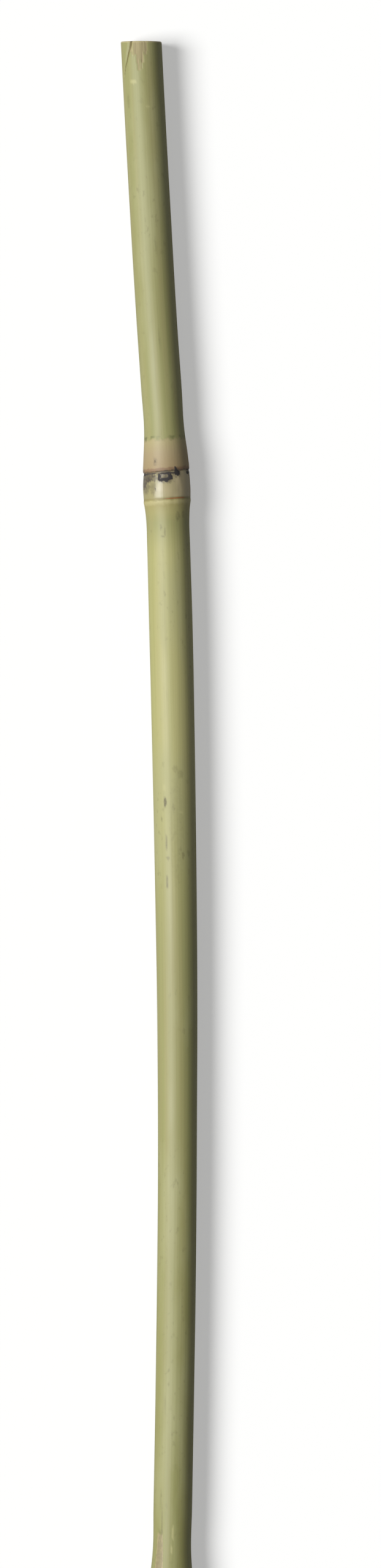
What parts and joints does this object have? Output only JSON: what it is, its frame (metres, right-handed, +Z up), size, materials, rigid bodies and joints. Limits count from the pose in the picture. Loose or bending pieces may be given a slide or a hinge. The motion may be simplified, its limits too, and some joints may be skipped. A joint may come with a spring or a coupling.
{
  "type": "bamboo cane",
  "caption": "Slim green bamboo cane, sawn square at both ends, with swollen nodes and a gentle bow, lying flat.",
  "frame": {"origin": "on the surface the cane lies on, under the middle of its bounding box", "axes": "+Z up; +Y along the cane towards its butt cut, the culm's growth runs towards -Y; +X across it, towards the outside of its bow"},
  "size_m": [0.0224, 0.9, 0.0139],
  "materials": {
    "bamboo": "natural green rind with a thin wax bloom, satin"
  },
  "bodies": {
    "root": {"cane": "bamboo"}
  },
  "joints": []
}
